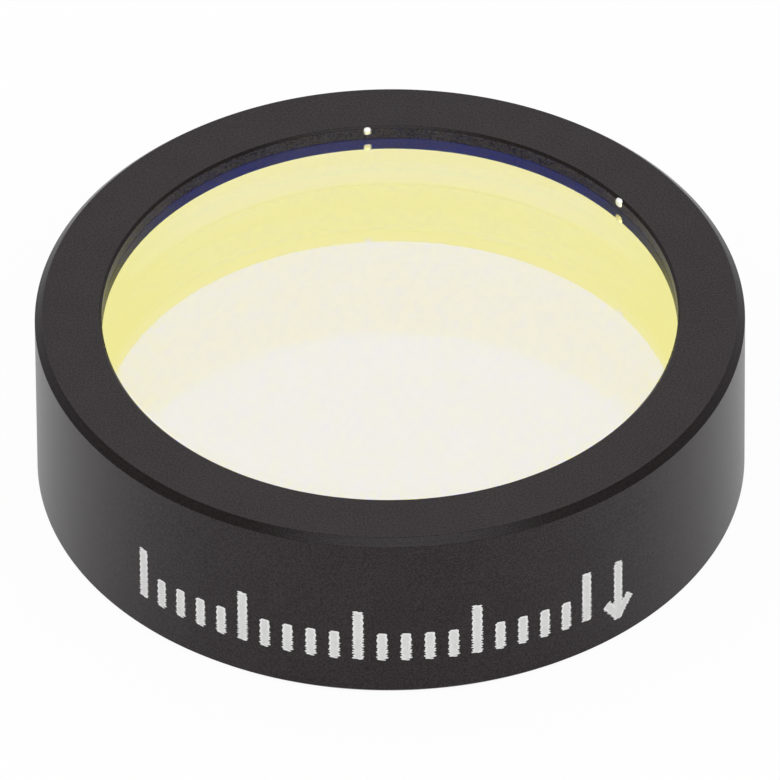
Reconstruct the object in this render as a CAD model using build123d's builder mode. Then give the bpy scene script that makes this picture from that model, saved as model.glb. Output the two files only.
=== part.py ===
from build123d import *
import os

os.makedirs("parts", exist_ok=True)

# Mounted bandpass filter: one coated glass plate clamped in a turned, black anodised cell.
# Lengths are in millimetres. The origin is the centre of the cell's back face, and +Z is
# the optical axis, out of the front face that the light enters.

# Housing, turned in one piece with its front lip
housing_diameter = 12.5
housing_wall = 0.55  # between the plate's pocket and the barrel
front_chamfer = 0.13  # outside, at the front face
back_chamfer = 0.1  # outside, at the back face
lip_thickness = 0.27  # how deep the plate lies under the front face
lip_seat_width = 0.58  # how far the lip covers the plate
lip_edge_break = 0.045
pocket_corner_radius = 0.04  # left by the tool where the pocket meets the lip
pocket_lead_in = 0.08  # chamfer where the pocket opens at the back face

# Filter plate, polished on both faces and ground at the edge
plate_thickness = 2.1
plate_bevel = 0.1
plate_side_gap = 0.05

# Retaining ring, screwed in behind the plate
ring_length = 1.03
ring_recess = 0.1  # from the back face in to the ring
ring_side_gap = 0.02
ring_bore_chamfer = 0.12
ring_edge_break = 0.05
spanner_slot_count = 2
spanner_slot_width = 0.8
spanner_slot_depth = 0.45

# Radii, from the barrel inwards
housing_radius = housing_diameter / 2
pocket_radius = housing_radius - housing_wall
plate_radius = pocket_radius - plate_side_gap
aperture_radius = plate_radius - lip_seat_width
ring_radius = pocket_radius - ring_side_gap
ring_width = ring_radius - aperture_radius

# Heights, from the back face to the front face
plate_back_height = ring_recess + ring_length
plate_front_height = plate_back_height + plate_thickness
housing_length = plate_front_height + lip_thickness


# Housing: barrel, front lip and the pocket that the plate and the ring go into
with BuildPart() as housing:
    with BuildSketch(Plane.XZ) as housing_section:
        with BuildLine():
            Polyline(
                (aperture_radius, plate_front_height),
                (aperture_radius, housing_length),
                (housing_radius, housing_length),
                (housing_radius, 0),
                (pocket_radius, 0),
                (pocket_radius, plate_front_height),
                close=True,
            )
        make_face()
        section_corners = housing_section.vertices()
        barrel_corners = section_corners.group_by(Axis.X)[-1].sort_by(Axis.Y)
        pocket_corners = section_corners.group_by(Axis.X)[1].sort_by(Axis.Y)
        lip_corners = section_corners.group_by(Axis.X)[0].sort_by(Axis.Y)
        chamfer(barrel_corners[-1], front_chamfer)
        chamfer(barrel_corners[0], back_chamfer)
        chamfer(lip_corners[-1], lip_edge_break)
        chamfer(pocket_corners[0], pocket_lead_in)
        fillet(pocket_corners[-1], pocket_corner_radius)
    revolve(axis=Axis.Z)
housing.part.label = "housing"
export_step(housing.part, "parts/housing.step")


# Filter plate: it lies against the lip, with both rims bevelled
with BuildPart() as filter_plate:
    with BuildSketch(Plane.XY.offset(plate_back_height)):
        Circle(plate_radius)
    extrude(amount=plate_thickness)
    chamfer(filter_plate.edges().filter_by(GeomType.CIRCLE), plate_bevel)
filter_plate.part.label = "filter_plate"
export_step(filter_plate.part, "parts/filter_plate.step")


# Retaining ring: it presses the plate onto the lip and keeps the aperture's diameter
with BuildPart() as retaining_ring:
    with BuildSketch(Plane.XZ) as ring_section:
        with BuildLine():
            Polyline(
                (aperture_radius, ring_recess),
                (aperture_radius, plate_back_height),
                (ring_radius, plate_back_height),
                (ring_radius, ring_recess),
                close=True,
            )
        make_face()
        bore_corners = ring_section.vertices().group_by(Axis.X)[0].sort_by(Axis.Y)
        outer_corners = ring_section.vertices().group_by(Axis.X)[-1].sort_by(Axis.Y)
        chamfer(bore_corners[0], ring_bore_chamfer)
        chamfer(outer_corners, ring_edge_break)
    revolve(axis=Axis.Z)
    with BuildSketch(Plane.XY.offset(ring_recess)):
        with PolarLocations(aperture_radius + ring_width / 2, spanner_slot_count):
            Rectangle(2 * ring_width, spanner_slot_width)
    extrude(amount=spanner_slot_depth, mode=Mode.SUBTRACT)
retaining_ring.part.label = "retaining_ring"
export_step(retaining_ring.part, "parts/retaining_ring.step")
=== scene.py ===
"""The looks of a mounted bandpass filter: a coated glass plate in a black anodised ring.

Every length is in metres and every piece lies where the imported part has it. The front face
is up, and the marked side of the barrel faces -Y.
"""

import math
import random

import bpy
from mathutils import Matrix, Vector


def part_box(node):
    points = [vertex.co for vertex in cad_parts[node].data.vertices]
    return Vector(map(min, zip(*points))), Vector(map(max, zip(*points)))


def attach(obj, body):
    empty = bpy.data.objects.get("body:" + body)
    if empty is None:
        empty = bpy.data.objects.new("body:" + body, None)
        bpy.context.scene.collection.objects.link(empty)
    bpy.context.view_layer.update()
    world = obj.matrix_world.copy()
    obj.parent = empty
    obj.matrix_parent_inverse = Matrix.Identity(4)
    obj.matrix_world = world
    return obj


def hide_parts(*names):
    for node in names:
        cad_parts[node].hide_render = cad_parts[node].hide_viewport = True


bl_info = {
    "name": "Mounted Bandpass Filter",
    "version": (1, 0, 0),
    "blender": (4, 5, 0),
    "location": "View3D > Sidebar > Filter",
    "description": "Builds the ring, the coated plate, the marks and the stage of a mounted filter",
    "category": "Object",
}

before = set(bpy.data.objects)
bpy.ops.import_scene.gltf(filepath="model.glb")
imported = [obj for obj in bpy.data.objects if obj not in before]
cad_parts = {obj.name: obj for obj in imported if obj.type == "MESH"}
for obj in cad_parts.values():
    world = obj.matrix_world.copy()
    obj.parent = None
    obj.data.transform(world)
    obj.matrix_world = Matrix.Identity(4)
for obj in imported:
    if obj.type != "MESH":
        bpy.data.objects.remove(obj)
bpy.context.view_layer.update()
HOUSING_LOW, HOUSING_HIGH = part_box("housing")
PLATE_LOW, PLATE_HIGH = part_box("filter_plate")
RING_LOW, RING_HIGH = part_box("retaining_ring")

MM = 0.001
BODY = "root"


# Settings

class HousingSettings(bpy.types.PropertyGroup):
    """Sizes of the housing and of the ring behind the plate"""

    segments: bpy.props.IntProperty(
        name="Segments", description="Steps round the turned pieces", default=360, min=24)
    radius: bpy.props.FloatProperty(
        name="Barrel radius", description="Outside of the housing",
        default=HOUSING_HIGH.x, unit="LENGTH", precision=5)
    wall: bpy.props.FloatProperty(
        name="Wall", description="Between the pocket and the barrel",
        default=0.55 * MM, unit="LENGTH", precision=5)
    lip_seat: bpy.props.FloatProperty(
        name="Lip seat", description="How far the lip covers the plate",
        default=0.58 * MM, unit="LENGTH", precision=5)
    front_chamfer: bpy.props.FloatProperty(
        name="Front chamfer", description="Outside, at the front face",
        default=0.13 * MM, unit="LENGTH", precision=5)
    back_chamfer: bpy.props.FloatProperty(
        name="Back chamfer", description="Outside, at the back face",
        default=0.1 * MM, unit="LENGTH", precision=5)
    lip_break: bpy.props.FloatProperty(
        name="Lip edge break", description="Chamfer round the aperture",
        default=0.045 * MM, unit="LENGTH", precision=5)
    lead_in: bpy.props.FloatProperty(
        name="Pocket lead-in", description="Chamfer where the pocket opens",
        default=0.08 * MM, unit="LENGTH", precision=5)
    bore_chamfer: bpy.props.FloatProperty(
        name="Ring bore chamfer", description="On the back of the retaining ring",
        default=0.12 * MM, unit="LENGTH", precision=5)
    ring_break: bpy.props.FloatProperty(
        name="Ring edge break", description="Outer edges of the retaining ring",
        default=0.05 * MM, unit="LENGTH", precision=5)
    slot_count: bpy.props.IntProperty(
        name="Spanner slots", description="Slots across the retaining ring", default=2, min=1)
    slot_width: bpy.props.FloatProperty(
        name="Slot width", description="Width of a spanner slot",
        default=0.8 * MM, unit="LENGTH", precision=5)
    slot_depth: bpy.props.FloatProperty(
        name="Slot depth", description="Depth of a spanner slot",
        default=0.45 * MM, unit="LENGTH", precision=5)
    edge_radius: bpy.props.FloatProperty(
        name="Edge radius", description="Rounding that blasting leaves on every turned edge",
        default=0.012 * MM, unit="LENGTH", precision=6)
    dye: bpy.props.FloatVectorProperty(
        name="Dye", description="Black of the anodised surface", subtype="COLOR",
        default=(0.0132, 0.0082, 0.0096), min=0, max=1)
    # Darker than the dye: painted shade on the front chamfer and the lip's edge break, for the dark
    # surroundings they reflect
    chamfer_shade_dye: bpy.props.FloatVectorProperty(
        name="Dye on the chamfers", description="Black of the two chamfers of the front face",
        subtype="COLOR", default=(0.0052, 0.002, 0.0026), min=0, max=1)
    # Paler and bluer than the dye: painted light on the lip's inner wall
    bore_light_dye: bpy.props.FloatVectorProperty(
        name="Dye in the aperture", description="Black of the lip's inner wall",
        subtype="COLOR", default=(0.025, 0.022, 0.038), min=0, max=1)


class PlateSettings(bpy.types.PropertyGroup):
    """Sizes and coatings of the glass plate"""

    bevel: bpy.props.FloatProperty(
        name="Bevel", description="Ground bevel round both faces",
        default=0.1 * MM, unit="LENGTH", precision=5)
    refraction: bpy.props.FloatProperty(
        name="Refractive index", description="Index of the plate's glass", default=1.47, min=1)
    front_mirror: bpy.props.FloatVectorProperty(
        name="Front coating", description="What the front coating reflects",
        subtype="COLOR", default=(0.866, 0.82, 0.312), min=0, max=1)
    back_mirror: bpy.props.FloatVectorProperty(
        name="Back coating", description="What the back coating reflects",
        subtype="COLOR", default=(0.03, 0.72, 0.75), min=0, max=1)
    ground_glass: bpy.props.FloatVectorProperty(
        name="Ground glass", description="Colour of the plate's ground edge",
        subtype="COLOR", default=(0.28, 0.64, 0.86), min=0, max=1)
    margin: bpy.props.FloatProperty(
        name="Masked margin", description="Width of the uncoated band round the back coating",
        default=0.2 * MM, unit="LENGTH", precision=5)
    masked_margin: bpy.props.FloatVectorProperty(
        name="Masked margin colour", description="Colour of the uncoated band",
        subtype="COLOR", default=(0.66, 0.72, 0.74), min=0, max=1)


class MarkSettings(bpy.types.PropertyGroup):
    """The laser marks on the barrel and the bare contact spots on the lip"""

    cell: bpy.props.FloatProperty(
        name="Mesh step", description="Step of the marks' mesh",
        default=0.0125 * MM, unit="LENGTH", precision=6)
    stroke: bpy.props.FloatProperty(
        name="Stroke", description="Width of a laser stroke",
        default=0.175 * MM, unit="LENGTH", precision=6)
    low: bpy.props.FloatProperty(
        name="Foot of the ticks", description="Height above the back face",
        default=0.79 * MM, unit="LENGTH", precision=5)
    high: bpy.props.FloatProperty(
        name="Top of the ticks", description="Height above the back face",
        default=1.88 * MM, unit="LENGTH", precision=5)
    arrow_low: bpy.props.FloatProperty(
        name="Arrow tip", description="Height above the back face",
        default=0.5 * MM, unit="LENGTH", precision=5)
    arrow_high: bpy.props.FloatProperty(
        name="Arrow top", description="Height above the back face",
        default=1.8 * MM, unit="LENGTH", precision=5)
    arrow_angle: bpy.props.FloatProperty(
        name="Arrow place", description="Angle round the barrel from -Y",
        default=math.radians(39.3), subtype="ANGLE")
    bleached: bpy.props.FloatVectorProperty(
        name="Bleached finish", description="White left by the laser",
        subtype="COLOR", default=(0.9, 0.9, 0.89), min=0, max=1)
    bare_metal: bpy.props.FloatVectorProperty(
        name="Bare metal", description="Aluminium where the rack touched the lip",
        subtype="COLOR", default=(0.93, 0.93, 0.93), min=0, max=1)


class StageSettings(bpy.types.PropertyGroup):
    """The camera, the floor and the light"""

    lens: bpy.props.FloatProperty(
        name="Lens", description="Focal length in millimetres", default=1131.3)
    distance: bpy.props.FloatProperty(
        name="Distance", description="From the camera to the origin along its view",
        default=433.42 * MM, unit="LENGTH")
    elevation: bpy.props.FloatProperty(
        name="Elevation", description="Of the camera above the horizon",
        default=math.radians(40.3), subtype="ANGLE")
    roll: bpy.props.FloatProperty(
        name="Roll", description="Of the camera about its view",
        default=math.radians(-0.446), subtype="ANGLE")
    aside: bpy.props.FloatProperty(
        name="Aside", description="How far right of the origin the camera looks",
        default=-0.0077 * MM, unit="LENGTH", precision=6)
    above: bpy.props.FloatProperty(
        name="Above", description="How far above the origin the camera looks",
        default=1.278 * MM, unit="LENGTH", precision=6)
    fill: bpy.props.FloatProperty(
        name="Fill", description="Strength of the light from all round", default=0.7)
    front_lamp: bpy.props.FloatProperty(
        name="Front lamp", description="Power of the wide lamp before the ring in watts",
        default=0.112)
    softbox: bpy.props.FloatProperty(
        name="Softbox", description="Power of the large lamp overhead in watts", default=0.02)


# Shader maths

class Value:
    """One output socket. Expressions on it add Math nodes to its tree."""

    def __init__(self, tree, socket):
        self.tree = tree
        self.socket = socket

    def maths(self, operation, *values):
        """A Math node on values in their order."""
        return self.tree.add("ShaderNodeMath", {"operation": operation}, values)["Value"]

    def __add__(self, other):
        return self.maths("ADD", self, other)

    def __mul__(self, other):
        return self.maths("MULTIPLY", self, other)

    __radd__ = __add__
    __rmul__ = __mul__

    def __sub__(self, other):
        return self.maths("SUBTRACT", self, other)

    def __rsub__(self, other):
        return self.maths("SUBTRACT", other, self)

    def __truediv__(self, other):
        return self.maths("DIVIDE", self, other)

    def __rtruediv__(self, other):
        return self.maths("DIVIDE", other, self)

    def __pow__(self, other):
        return self.maths("POWER", self, other)

    def __rpow__(self, other):
        return self.maths("POWER", other, self)

    def __gt__(self, other):
        return self.maths("GREATER_THAN", self, other)

    def __lt__(self, other):
        return self.maths("LESS_THAN", self, other)

    def clamped(self):
        """Held between 0 and 1."""
        return self.tree.add("ShaderNodeClamp", {}, {"Value": self})["Result"]

    def larger(self, other):
        """The larger of this value and another."""
        return self.maths("MAXIMUM", self, other)


class Outputs:
    """A node's outputs, by name or number."""

    def __init__(self, tree, node):
        self.tree = tree
        self.node = node

    def __getitem__(self, name):
        return Value(self.tree, self.node.outputs[name])


class Tree:
    """A material's or the world's node tree, built from an empty one."""

    def __init__(self, owner):
        owner.use_nodes = True
        self.nodes = owner.node_tree.nodes
        self.links = owner.node_tree.links
        self.nodes.clear()

    def add(self, kind, settings, values):
        """Adds a node: its settings first, then a value or a link for each named socket."""
        node = self.nodes.new(kind)
        for name, setting in settings.items():
            setattr(node, name, setting)
        pairs = values.items() if isinstance(values, dict) else enumerate(values)
        for name, value in pairs:
            if isinstance(value, Value):
                self.links.new(value.socket, node.inputs[name])
            else:
                node.inputs[name].default_value = value
        return Outputs(self, node)

    def mixed(self, factor, first, second):
        """Two colours mixed by a factor. The Mix node has its colours at sockets 6, 7 and out 2."""
        return self.add("ShaderNodeMix", {"data_type": "RGBA"}, {
            0: factor, 6: solid_colour(first), 7: solid_colour(second)})[2]

    def millimetres(self):
        """The piece's own coordinates, in millimetres."""
        place = self.add("ShaderNodeTexCoord", {}, {})["Object"]
        return self.add("ShaderNodeVectorMath", {"operation": "SCALE"},
                        {0: place, "Scale": 1 / MM})["Vector"]

    def parts(self, place):
        """The X, Y and Z of a place."""
        return self.add("ShaderNodeSeparateXYZ", {}, {"Vector": place})

    def radius(self, parts):
        """Distance from the axis, from the parts of a place."""
        return (parts["X"] * parts["X"] + parts["Y"] * parts["Y"]) ** 0.5

    def far_side(self, parts, radius):
        """1 round the +Y side, fading to 0 towards the other sides."""
        begins, fade = 0.45, 0.35
        return ((parts["Y"] / radius - begins) / fade).clamped()

    def noise(self, place, scale, detail=2.0, roughness=0.5):
        """Noise from 0 to 1 at a place, with a scale in waves a millimetre."""
        return self.add("ShaderNodeTexNoise", {}, {
            "Vector": place, "Scale": scale, "Detail": detail, "Roughness": roughness})["Fac"]

    def noise_line(self, along, scale, detail=3.0):
        """Noise that varies only along one number."""
        return self.add("ShaderNodeTexNoise", {"noise_dimensions": "1D"}, {
            "W": along, "Scale": scale, "Detail": detail})["Fac"]

    def relief(self, height, strength, depth):
        """A normal bent by a height that varies, with its depth in millimetres."""
        return self.add("ShaderNodeBump", {}, {
            "Strength": strength, "Distance": depth * MM, "Height": height})["Normal"]

    def principled(self, colour, roughness, normal, settings):
        """Ends the tree in a Principled shader, with its plain settings by socket."""
        self.surface(self.add("ShaderNodeBsdfPrincipled", {}, {
            "Base Color": solid_colour(colour), "Roughness": roughness, "Normal": normal,
            **settings})["BSDF"])

    def surface(self, shader):
        """Ends the tree in a shader."""
        self.add("ShaderNodeOutputMaterial", {}, {"Surface": shader})


def solid_colour(colour):
    """A colour with the fourth channel that sockets want. A socket's value passes as it is."""
    return colour if isinstance(colour, Value) else (*colour, 1.0)


def scaled(colour, share):
    """A darker or paler colour of the same tint."""
    return tuple(channel * share for channel in colour)


def new_material(name):
    """An empty material and its tree."""
    material = bpy.data.materials.new(name)
    return material, Tree(material)


# Materials

def anodised_material(name, dye, roughness, refraction):
    """Black anodised aluminium: fine turning lines under a blasted grain.

    The grains, lines and clouds are in waves a millimetre.
    """
    grains, lines, clouds = 28.0, 26.0, 1.4
    contrast, middle = 10.0, 0.43
    material, tree = new_material(name)
    place = tree.millimetres()
    parts = tree.parts(place)
    turning = tree.noise_line(parts["Z"], lines) + tree.noise_line(tree.radius(parts), lines)
    grain = tree.noise(place, grains, detail=3.0, roughness=0.7)
    cloud = tree.noise(place, clouds)
    pattern = 0.8 * grain + 0.05 * turning + 0.08 * cloud
    spread = 0.6 * max(dye)
    darker = [max(0.0, channel - spread) for channel in dye]
    paler = [channel + spread for channel in dye]
    colour = tree.mixed((contrast * (pattern - middle)).clamped(), darker, paler)
    matt = roughness - 0.06 + 0.12 * grain
    normal = tree.relief(0.7 * grain + 0.3 * turning, strength=0.8, depth=0.005)
    tree.principled(colour, matt, normal, {"IOR": refraction})
    return material


def coating_material(name, mirror, refraction):
    """A lossless coating: it reflects one tint and lets the rest of the light through.

    Each side of the mix is divided by its own share, so the two tints add up to white.
    """
    mirror_share = 0.6
    passed = [1 - channel for channel in mirror]
    material, tree = new_material(name)
    reflecting = tree.add("ShaderNodeBsdfAnisotropic", {}, {
        "Color": solid_colour(scaled(mirror, 1 / mirror_share)), "Roughness": 0.0})["BSDF"]
    passing = tree.add("ShaderNodeBsdfRefraction", {}, {
        "Color": solid_colour(scaled(passed, 1 / (1 - mirror_share))),
        "Roughness": 0.0, "IOR": refraction})["BSDF"]
    tree.surface(tree.add("ShaderNodeMixShader", {}, {
        0: mirror_share, 1: passing, 2: reflecting})["Shader"])
    return material


# The plate's ground edge: the share of its colour left away from its +Y side, painted shade, and its
# grain
SHADED_SHARE = 0.1
GROUND_GRAINS = 45.0
GROUND_ROUGHNESS = 0.85


def ground_glass_material(name, colour):
    """The plate's edge, ground matt, in full colour round its +Y side and a tenth of it towards the
    other sides: painted light on the far side.
    """
    material, tree = new_material(name)
    place = tree.millimetres()
    parts = tree.parts(place)
    grain = tree.noise(place, GROUND_GRAINS)
    # Painted light: the edge is bright round the +Y side and dark towards the sides
    painted_far_light = tree.far_side(parts, tree.radius(parts)) * (0.85 + 0.3 * grain)
    tint = tree.mixed(painted_far_light, scaled(colour, SHADED_SHARE), colour)
    tree.principled(tint, GROUND_ROUGHNESS, tree.relief(grain, strength=0.5, depth=0.003),
                    {"IOR": 1.3})
    return material


def masked_margin_material(name, edge_colour, band_colour, inner, outer):
    """The uncoated margin of the back face: ground like the edge.

    Round the +Y side it shows the edge's full colour and a paler band, painted light, which fades at
    both sides over a width in mm.
    """
    fade = 0.2
    material, tree = new_material(name)
    place = tree.millimetres()
    parts = tree.parts(place)
    radius = tree.radius(parts)
    grain = tree.noise(place, GROUND_GRAINS)
    fade_in = ((radius - inner / MM) / fade).clamped()
    fade_out = ((outer / MM + fade - radius) / fade).clamped()
    # Painted light: the edge's full colour and the pale band show only round the +Y side
    painted_far_light = tree.far_side(parts, radius)
    edge = tree.mixed(fade_in * painted_far_light, scaled(edge_colour, SHADED_SHARE), edge_colour)
    tint = tree.mixed(fade_in * fade_out * painted_far_light, edge, band_colour)
    speckled = tree.mixed(0.2 * grain, tint, scaled(edge_colour, 0.5))
    tree.principled(speckled, GROUND_ROUGHNESS, tree.relief(grain, strength=0.5, depth=0.003),
                    {"IOR": 1.3})
    return material


def bleached_material(name, colour):
    """Anodising bleached white by the laser, in fine overlapping passes."""
    material, tree = new_material(name)
    place = tree.millimetres()
    grains, lines = 28.0, 12.0
    darkest, palest = scaled(colour, 0.72), scaled(colour, 1.1)
    grain = tree.noise(place, grains, detail=3.0, roughness=0.65)
    passes = tree.noise(place, lines, detail=1.0)
    tint = tree.mixed(0.6 * grain + 0.4 * passes, darkest, palest)
    matt = 0.8
    tree.principled(tint, matt, tree.relief(grain, strength=0.6, depth=0.004), {"IOR": 1.4})
    return material


def bare_metal_material(name, colour):
    """Bare aluminium, dented by the anodising rack."""
    material, tree = new_material(name)
    dents = 40.0
    grain = tree.noise(tree.millimetres(), dents)
    roughness = 0.3 + 0.2 * grain
    tree.principled(colour, roughness, tree.relief(grain, strength=0.5, depth=0.002),
                    {"Metallic": 1.0})
    return material


# Turned forms

def rounded_section(corners):
    """A closed section from (radius, height, rounding) corners, walked with the solid on the left.

    Returns points and outward normals, so that faces stay flat right up to each rounding.
    """
    coarsest = math.radians(15)
    section = []
    count = len(corners)
    for i, (r, z, rounding) in enumerate(corners):
        here = Vector((r, z))
        before = (here - Vector(corners[i - 1][:2])).normalized()
        after = (Vector(corners[(i + 1) % count][:2]) - here).normalized()
        turn = math.atan2(before.cross(after), before.dot(after))
        reach = rounding * math.tan(abs(turn) / 2)
        start = here - before * reach
        side = 1 if turn > 0 else -1
        centre = start + side * rounding * Vector((-before.y, before.x))
        steps = max(2, round(abs(turn) / coarsest))
        for step in range(steps + 1):
            angle = turn * step / steps
            heading = Matrix.Rotation(angle, 2) @ before
            outward = Vector((heading.y, -heading.x))
            section.append((centre + side * rounding * outward, outward))
    return section


def turned_mesh(name, section, segments):
    """A closed section turned about Z, with exact normals."""
    vertices, normals, faces = [], [], []
    size = len(section)
    for step in range(segments):
        angle = 2 * math.pi * step / segments
        c, s = math.cos(angle), math.sin(angle)
        for point, outward in section:
            vertices.append((point.x * c, point.x * s, point.y))
            normals.append((outward.x * c, outward.x * s, outward.y))
    for step in range(segments):
        a = step * size
        b = (step + 1) % segments * size
        for i in range(size):
            j = (i + 1) % size
            faces.append((a + i, b + i, b + j, a + j))
    mesh = bpy.data.meshes.new(name)
    mesh.from_pydata(vertices, [], faces)
    mesh.polygons.foreach_set("use_smooth", [True] * len(faces))
    mesh.update()
    mesh.normals_split_custom_set_from_vertices(normals)
    return mesh


def placed(name, mesh, *materials):
    """A piece of the object, riding on its one body."""
    piece = bpy.data.objects.new(name, mesh)
    bpy.context.collection.objects.link(piece)
    for material in materials:
        mesh.materials.append(material)
    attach(piece, BODY)
    return piece


def pocket_radius():
    """Of the housing's pocket behind the lip."""
    sizes = bpy.context.scene.filter_housing
    return sizes.radius - sizes.wall


def aperture_radius():
    """Of the opening in the lip."""
    return PLATE_HIGH.x - bpy.context.scene.filter_housing.lip_seat


class FILTER_OT_housing(bpy.types.Operator):
    """Turn the housing with its front lip, chamfers and pocket"""

    bl_idname = "filter.housing"
    bl_label = "Housing"

    def execute(self, context):
        sizes = context.scene.filter_housing
        top, back, seat = HOUSING_HIGH.z, HOUSING_LOW.z, PLATE_HIGH.z
        outer, bore, pocket = sizes.radius, aperture_radius(), pocket_radius()
        front, rear = sizes.front_chamfer, sizes.back_chamfer
        edge = sizes.edge_radius
        section = rounded_section([
            (bore, seat, edge),
            (pocket, seat, 3 * edge),
            (pocket, back + sizes.lead_in, edge),
            (pocket + sizes.lead_in, back, edge),
            (outer - rear, back, edge),
            (outer, back + rear, edge),
            (outer, top - front, 2 * edge),
            (outer - front, top, 2 * edge),
            (bore + sizes.lip_break, top, edge),
            (bore, top - sizes.lip_break, edge),
        ])
        mesh = turned_mesh("housing_turned", section, sizes.segments)
        slack = 0.002 * MM
        # The number of each material below, after the housing's own
        chamfer_shade_index, bore_light_index = 1, 2
        # The chamfers and the lip's edge break take a darker copy of the anodising, painted shade; the
        # lip's inner wall takes a paler one, painted light
        for face in mesh.polygons:
            height = face.center.z
            radius = math.hypot(face.center.x, face.center.y)
            on_chamfer = radius + height > outer - front + top - slack
            on_break = radius - height < bore + sizes.lip_break - top + slack
            if on_chamfer or on_break and height > top - sizes.lip_break:
                face.material_index = chamfer_shade_index
            elif radius < bore + slack:
                face.material_index = bore_light_index
        housing = placed(
            "housing_turned", mesh,
            anodised_material("anodised_housing", sizes.dye, roughness=0.3, refraction=1.35),
            # A darker copy for the chamfers: painted shade
            anodised_material("chamfer_anodised_painted_shade", sizes.chamfer_shade_dye, roughness=0.24, refraction=1.25),
            # A paler copy for the lip's inner wall: painted light
            anodised_material("bore_anodised_painted_light", sizes.bore_light_dye, roughness=0.3, refraction=1.2))
        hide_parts("housing")
        return {"FINISHED"}


class FILTER_OT_plate(bpy.types.Operator):
    """Build the glass plate with its two coatings, ground edge and masked margin"""

    bl_idname = "filter.plate"
    bl_label = "Coated plate"

    def execute(self, context):
        coats = context.scene.filter_plate
        segments = context.scene.filter_housing.segments
        radius, bevel = PLATE_HIGH.x, coats.bevel
        film_gap = 0.002 * MM
        top, bottom = PLATE_HIGH.z - film_gap, PLATE_LOW.z + film_gap
        clear = aperture_radius()
        lip_overlap = 0.05 * MM
        # From the back coating's rim, round the edge, to the front coating's rim under the lip
        outline = [
            (clear, bottom),
            (radius - bevel, bottom),
            (radius, bottom + bevel),
            (radius, top - bevel),
            (radius - bevel, top),
            (clear + lip_overlap, top),
        ]
        front, back, ground, masked = range(4)
        coverings = [masked, ground, ground, ground, ground]
        vertices, faces, surfaces = [], [], []
        for step in range(segments):
            angle = 2 * math.pi * step / segments
            for r, z in outline:
                vertices.append((r * math.cos(angle), r * math.sin(angle), z))
        size = len(outline)
        for step in range(segments):
            a, b = step * size, (step + 1) % segments * size
            for i, covering in enumerate(coverings):
                faces.append((a + i, b + i, b + i + 1, a + i + 1))
                surfaces.append(covering)
        faces.append(tuple(step * size + size - 1 for step in range(segments)))
        surfaces.append(front)
        faces.append(tuple(step * size for step in reversed(range(segments))))
        surfaces.append(back)
        mesh = bpy.data.meshes.new("coated_plate")
        mesh.from_pydata(vertices, [], faces)
        mesh.polygons.foreach_set("material_index", surfaces)
        mesh.update()
        plate = placed(
            "coated_plate", mesh,
            coating_material("front_coating", coats.front_mirror, coats.refraction),
            coating_material("back_coating", coats.back_mirror, coats.refraction),
            ground_glass_material("ground_glass", coats.ground_glass),
            masked_margin_material("masked_margin", coats.ground_glass, coats.masked_margin,
                                   clear, clear + coats.margin))
        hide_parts("filter_plate")
        return {"FINISHED"}


class FILTER_OT_retaining_ring(bpy.types.Operator):
    """Turn the retaining ring behind the plate and cut its spanner slots"""

    bl_idname = "filter.retaining_ring"
    bl_label = "Retaining ring"

    def execute(self, context):
        sizes = context.scene.filter_housing
        edge = sizes.edge_radius
        outer, bore = RING_HIGH.x, aperture_radius()
        top, back = RING_HIGH.z, RING_LOW.z
        section = rounded_section([
            (bore, top, edge),
            (bore, back + sizes.bore_chamfer, edge),
            (bore + sizes.bore_chamfer, back, edge),
            (outer - sizes.ring_break, back, edge),
            (outer, back + sizes.ring_break, edge),
            (outer, top - sizes.ring_break, edge),
            (outer - sizes.ring_break, top, edge),
        ])
        mesh = turned_mesh("retaining_ring_turned", section, sizes.segments)
        ring = placed(
            "retaining_ring_turned", mesh,
            anodised_material("anodised_ring", sizes.dye, roughness=0.36, refraction=1.35))
        cutter_mesh = bpy.data.meshes.new("spanner_slots")
        vertices, faces = [], []
        reach = 2 * outer / math.sqrt(2)
        for slot in range(sizes.slot_count):
            turn = Matrix.Rotation(2 * math.pi * slot / sizes.slot_count, 3, "Z")
            first = len(vertices)
            for z in (back - sizes.slot_depth, back + sizes.slot_depth):
                for x, y in ((bore / 2, -1), (reach, -1), (reach, 1), (bore / 2, 1)):
                    vertices.append(turn @ Vector((x, y * sizes.slot_width / 2, z)))
            for face in ((0, 3, 2, 1), (4, 5, 6, 7), (0, 1, 5, 4),
                         (1, 2, 6, 5), (2, 3, 7, 6), (3, 0, 4, 7)):
                faces.append(tuple(first + corner for corner in face))
        cutter_mesh.from_pydata(vertices, [], faces)
        cutter = bpy.data.objects.new("spanner_slots", cutter_mesh)
        context.collection.objects.link(cutter)
        cut = ring.modifiers.new("slots", "BOOLEAN")
        cut.operation = "DIFFERENCE"
        cut.solver = "EXACT"
        cut.object = cutter
        graph = context.evaluated_depsgraph_get()
        ring.data = bpy.data.meshes.new_from_object(ring.evaluated_get(graph))
        ring.modifiers.clear()
        bpy.data.objects.remove(cutter)
        bpy.data.meshes.remove(cutter_mesh)
        sharp_from = math.radians(35)
        ring.data.set_sharp_from_angle(angle=sharp_from)
        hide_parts("retaining_ring")
        return {"FINISHED"}


# Marks

# Each bare spot in the lip: degrees round the aperture from +X, half width and half height in mm
CONTACT_SPOTS = ((94.2, 0.076, 0.076), (36.6, 0.088, 0.082))


def stroke_depth(point, start, end, half, corner):
    """How deep a point lies in a stroke with square ends and softened corners.

    Also how far along the stroke it is.
    """
    heading = (end - start).normalized()
    offset = point - (start + end) / 2
    along, across = offset.dot(heading), abs(offset.cross(heading))
    past_end = abs(along) - (end - start).length / 2 - half + corner
    past_side = across - half + corner
    outside = math.hypot(max(past_end, 0), max(past_side, 0))
    return corner - outside - min(max(past_end, past_side), 0), along


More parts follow.
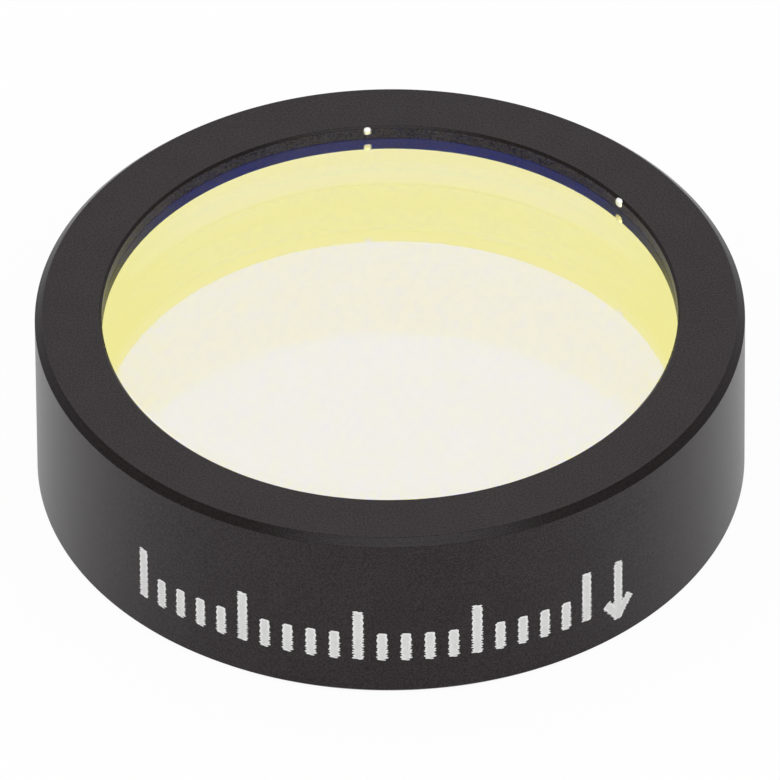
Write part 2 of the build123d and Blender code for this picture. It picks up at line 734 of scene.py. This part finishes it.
def ragged(along, seed):
    """How much the laser's overlapping spots widen a stroke, at a place along it."""
    spot, slow, fast = 0.056 * MM, 0.034 * MM, 0.013 * MM
    scallop, drift = 0.022 * MM, 0.017 * MM
    wave = abs(math.cos(math.pi * along / spot + seed))
    wander = math.sin(along / slow + 2.1 * seed) * math.sin(along / fast + seed)
    return scallop * (wave - 0.5) + drift * wander


def mark_mesh(name, strokes, width, cell, radius):
    """Strokes drawn on the barrel, as one thin closed sheet with ragged edges.

    A stroke is a pair of points, each the way round the barrel from -Y and the height. Its rim
    has the first material and its inside the second.
    """
    rim_width, corner_share = 0.036 * MM, 0.3
    seeds = [0.7 + 1.9 * i for i in range(len(strokes))]

    def depth(point):
        best = -1.0
        for (start, end), seed in zip(strokes, seeds):
            deep, along = stroke_depth(point, start, end, width / 2, corner_share * width)
            side = 1 if (end - start).cross(point - start) > 0 else 2
            best = max(best, deep + ragged(along, seed * side))
        return best

    ends = [point for pair in strokes for point in pair]
    left = min(point.x for point in ends) - width
    right = max(point.x for point in ends) + width
    low = min(point.y for point in ends) - width
    high = max(point.y for point in ends) + width
    columns, rows = int((right - left) / cell) + 1, int((high - low) / cell) + 1
    inside = {}
    for i in range(columns):
        for j in range(rows):
            deep = depth(Vector((left + (i + 0.5) * cell, low + (j + 0.5) * cell)))
            if deep > 0:
                inside[i, j] = deep
    numbers, flat, quads = {}, [], []
    for i, j in sorted(inside):
        quad = []
        for corner in ((i, j), (i + 1, j), (i + 1, j + 1), (i, j + 1)):
            if corner not in numbers:
                numbers[corner] = len(flat)
                point = Vector((left + corner[0] * cell, low + corner[1] * cell))
                flat.append(snapped(point, depth, cell))
            quad.append(numbers[corner])
        quads.append(tuple(quad))
    mesh = raised_sheet(name, flat, quads, radius)
    for face, place in zip(mesh.polygons, sorted(inside)):
        face.material_index = int(inside[place] > rim_width)
    return mesh


def snapped(point, depth, cell):
    """Moves a point that lies near the outline onto it, by the slope of the depth there."""
    nudge, reach, furthest = 0.2 * cell, 0.75 * cell, 0.7 * cell
    flattest = 0.3
    here = depth(point)
    if here > reach:
        return point
    slope = Vector((
        (depth(point + Vector((nudge, 0))) - depth(point - Vector((nudge, 0)))) / (2 * nudge),
        (depth(point + Vector((0, nudge))) - depth(point - Vector((0, nudge)))) / (2 * nudge)))
    if slope.length < flattest:
        return point
    step = max(-furthest, min(furthest, -here / slope.length))
    return point + step * slope.normalized()


def raised_sheet(name, flat, quads, radius):
    """Bends a flat sheet round the barrel and closes it into a skin just above the surface."""
    proud, sunk = 0.0015 * MM, 0.004 * MM
    vertices = []
    for level in (radius + proud, radius - sunk):
        for point in flat:
            angle = point.x / radius - math.pi / 2
            vertices.append((level * math.cos(angle), level * math.sin(angle), point.y))
    count = len(flat)
    edges = {}
    for quad in quads:
        for a, b in zip(quad, quad[1:] + quad[:1]):
            edges[(a, b)] = edges.get((a, b), 0) + 1
    faces = list(quads)
    faces += [tuple(count + v for v in reversed(quad)) for quad in quads]
    faces += [(b, a, count + a, count + b) for a, b in edges if (b, a) not in edges]
    mesh = bpy.data.meshes.new(name)
    mesh.from_pydata(vertices, [], faces)
    mesh.update()
    return mesh


class FILTER_OT_marks(bpy.types.Operator):
    """Draw the direction arrow and a plain row of ticks on the barrel"""

    bl_idname = "filter.marks"
    bl_label = "Laser marks"

    def execute(self, context):
        marks = context.scene.filter_marks
        radius = context.scene.filter_housing.radius
        hatching_share = 0.86
        rim = bleached_material("laser_outline", marks.bleached)
        hatching = bleached_material("laser_hatching", scaled(marks.bleached, hatching_share))
        half = marks.stroke / 2
        shaft = marks.arrow_angle * radius
        head_side, head_rise = 0.22 * MM, 0.29 * MM
        tip = Vector((shaft, marks.arrow_low + half))
        strokes = [
            (tip, Vector((shaft, marks.arrow_high - half))),
            (tip, Vector((shaft - head_side, tip.y + head_rise))),
            (tip, Vector((shaft + head_side, tip.y + head_rise))),
        ]
        arrow = placed("direction_arrow",
                       mark_mesh("direction_arrow", strokes, marks.stroke, marks.cell, radius),
                       rim, hatching)
        first, last = math.radians(-44.0), math.radians(33.0)
        tick_count, major_step = 21, 5
        short_share = 0.55
        for tick in range(tick_count):
            way = radius * (first + (last - first) * tick / (tick_count - 1))
            share = 1.0 if tick % major_step == 0 else short_share
            top = marks.low + (marks.high - marks.low) * share
            stroke = [(Vector((way, marks.low + half)), Vector((way, top - half)))]
            piece = placed(f"tick_{tick:02d}",
                           mark_mesh(f"tick_{tick:02d}", stroke, marks.stroke, marks.cell, radius),
                           rim, hatching)
        return {"FINISHED"}


class FILTER_OT_contact_spots(bpy.types.Operator):
    """Dent the lip's edge with the two bare spots that the anodising rack left"""

    bl_idname = "filter.contact_spots"
    bl_label = "Contact spots"

    def execute(self, context):
        metal = bare_metal_material("bare_aluminium", context.scene.filter_marks.bare_metal)
        draw = random.Random(7)
        bore = aperture_radius()
        bedding, swell, below_top = 0.018 * MM, 0.07 * MM, 0.09 * MM
        roughness, squareness = 0.06, 3
        rings, steps = 10, 24
        for number, (degrees, width, height) in enumerate(CONTACT_SPOTS):
            angle = math.radians(degrees)
            width, height = width * MM, height * MM
            mesh = bpy.data.meshes.new(f"contact_spot_{number}")
            vertices, faces = [], []
            for i in range(rings + 1):
                tilt = math.pi * i / rings
                for j in range(steps):
                    turn = 2 * math.pi * j / steps
                    wobble = 1 + roughness * draw.uniform(-1, 1) * math.sin(tilt)
                    out = swell * math.cos(tilt) * wobble
                    square = (abs(math.cos(turn)) ** squareness
                              + abs(math.sin(turn)) ** squareness) ** (-1 / squareness)
                    side = width * math.sin(tilt) * math.cos(turn) * square * wobble
                    rise = height * math.sin(tilt) * math.sin(turn) * square * wobble
                    r = bore + bedding - out
                    vertices.append((
                        r * math.cos(angle) - side * math.sin(angle),
                        r * math.sin(angle) + side * math.cos(angle),
                        HOUSING_HIGH.z - below_top + rise))
            for i in range(rings):
                for j in range(steps):
                    k = (j + 1) % steps
                    faces.append((i * steps + j, i * steps + k,
                                  (i + 1) * steps + k, (i + 1) * steps + j))
            mesh.from_pydata(vertices, [], faces)
            mesh.polygons.foreach_set("use_smooth", [True] * len(faces))
            mesh.update()
            spot = placed(f"contact_spot_{number}", mesh, metal)
        return {"FINISHED"}


# Stage

class FILTER_OT_stage(bpy.types.Operator):
    """Lay the pale floor, light it softly and set the camera"""

    bl_idname = "filter.stage"
    bl_label = "Stage"

    def execute(self, context):
        stage = context.scene.filter_stage
        self.lay_floor(context)
        self.light(context, stage)
        self.aim_camera(context, stage)
        context.scene.view_settings.view_transform = "Standard"
        return {"FINISHED"}

    def lay_floor(self, context):
        """A pale floor that shows as the background, with the soft shadow of the ring on it."""
        half, gap = 2.0, 0.01 * MM
        most, least = 0.95, 0.03
        mesh = bpy.data.meshes.new("floor")
        mesh.from_pydata([(-half, -half, 0), (half, -half, 0), (half, half, 0), (-half, half, 0)],
                         [], [(0, 1, 2, 3)])
        floor = bpy.data.objects.new("floor", mesh)
        floor.location.z = HOUSING_LOW.z - gap
        context.collection.objects.link(floor)
        material, tree = new_material("pale_floor")
        seen = self.seen(tree)
        paper = tree.add("ShaderNodeBsdfDiffuse", {}, {"Color": (0.92, 0.92, 0.92, 1)})["BSDF"]
        glow = tree.add("ShaderNodeEmission", {}, {"Color": (1, 1, 1, 1), "Strength": 1.0})["Emission"]
        lit = least + (1 - least) * self.in_the_open(tree)
        tree.surface(tree.add("ShaderNodeMixShader", {}, {
            0: most * seen * lit * self.foot_shade(context, tree), 1: paper, 2: glow})["Shader"])
        mesh.materials.append(material)

    def in_the_open(self, tree):
        """0 on the patch of floor that the ring closes in, where no light gets."""
        return tree.radius(tree.parts(tree.millimetres())) > pocket_radius() / MM

    def foot_shade(self, context, tree):
        """Below 1 near the foot of the barrel, for a ray that shows the floor in a reflection: painted
        shade round the foot, which also lets the paper's own shadow through.
        """
        fading, darkening = 4.0, 0.4
        barrel = context.scene.filter_housing.radius / MM
        parts = tree.parts(tree.millimetres())
        # Painted shade: the glow falls off towards the barrel's foot
        near = (1 - (tree.radius(parts) - barrel) / fading).clamped()
        path = tree.add("ShaderNodeLightPath", {}, {})
        return 1 - darkening * near * path["Is Glossy Ray"]

    def seen(self, tree):
        """1 for a ray that shows the background: straight, in a reflection or through glass."""
        path = tree.add("ShaderNodeLightPath", {}, {})
        return path["Is Camera Ray"].larger(path["Is Glossy Ray"]).larger(path["Is Transmission Ray"])

    def light(self, context, stage):
        """White from all round, a soft lamp overhead and a wide one before the ring."""
        world = bpy.data.worlds.new("studio")
        context.scene.world = world
        tree = Tree(world)
        strength = stage.fill + (1 - stage.fill) * self.seen(tree)
        sky = tree.add("ShaderNodeBackground", {}, {
            "Color": (1, 1, 1, 1), "Strength": strength})["Background"]
        tree.add("ShaderNodeOutputWorld", {}, {"Surface": sky})
        softbox = self.hang_lamp(context, "softbox", stage.softbox, (-0.03, 0.02, 0.16), 0.12)
        softbox.visible_glossy = False
        softbox.visible_transmission = False
        self.hang_lamp(context, "front_lamp", stage.front_lamp, (0.012, -0.13, 0.152), 0.22, 0.05)

    def hang_lamp(self, context, name, power, place, width, height=None):
        """An area lamp that faces the origin: a disk, or an ellipse where it has a height."""
        lamp = bpy.data.lights.new(name, "AREA")
        lamp.shape = "DISK" if height is None else "ELLIPSE"
        lamp.size = width
        lamp.size_y = width if height is None else height
        lamp.energy = power
        hung = bpy.data.objects.new(name, lamp)
        hung.location = place
        hung.rotation_euler = (-hung.location).to_track_quat("-Z", "Y").to_euler()
        context.collection.objects.link(hung)
        return hung

    def aim_camera(self, context, stage):
        """Looks from the front and above, with a long lens."""
        lens = bpy.data.cameras.new("camera")
        lens.lens = stage.lens
        lens.sensor_width = 36.0
        lens.clip_start, lens.clip_end = 0.01, 10.0
        camera = bpy.data.objects.new("camera", lens)
        sine, cosine = math.sin(stage.elevation), math.cos(stage.elevation)
        right = Vector((1, 0, 0))
        ahead = Vector((0, cosine, -sine))
        up = Vector((0, sine, cosine))
        place = stage.aside * right + stage.above * up - stage.distance * ahead
        axes = Matrix((right, up, -ahead)).transposed() @ Matrix.Rotation(stage.roll, 3, "Z")
        camera.matrix_world = Matrix.Translation(place) @ axes.to_4x4()
        context.collection.objects.link(camera)
        context.scene.camera = camera


class FILTER_PT_panel(bpy.types.Panel):
    """Lists the filter's pieces"""

    bl_idname = "FILTER_PT_panel"
    bl_label = "Mounted filter"
    bl_space_type = "VIEW_3D"
    bl_region_type = "UI"
    bl_category = "Filter"

    def draw(self, context):
        for operator in OPERATORS:
            self.layout.operator(operator.bl_idname)
        for group in SETTINGS:
            box = self.layout.box()
            settings = getattr(context.scene, group)
            for name in settings.bl_rna.properties.keys():
                if name not in {"rna_type", "name"}:
                    box.prop(settings, name)


SETTINGS = {
    "filter_housing": HousingSettings,
    "filter_plate": PlateSettings,
    "filter_marks": MarkSettings,
    "filter_stage": StageSettings,
}
OPERATORS = (
    FILTER_OT_housing,
    FILTER_OT_plate,
    FILTER_OT_retaining_ring,
    FILTER_OT_marks,
    FILTER_OT_contact_spots,
    FILTER_OT_stage,
)
CLASSES = (*SETTINGS.values(), *OPERATORS, FILTER_PT_panel)


def register():
    for cls in CLASSES:
        bpy.utils.register_class(cls)
    for name, group in SETTINGS.items():
        setattr(bpy.types.Scene, name, bpy.props.PointerProperty(type=group))


def unregister():
    for name in SETTINGS:
        delattr(bpy.types.Scene, name)
    for cls in reversed(CLASSES):
        bpy.utils.unregister_class(cls)


def main():
    register()
    bpy.ops.filter.housing()
    bpy.ops.filter.plate()
    bpy.ops.filter.retaining_ring()
    bpy.ops.filter.marks()
    bpy.ops.filter.contact_spots()
    bpy.ops.filter.stage()


if __name__ == "__main__":
    main()
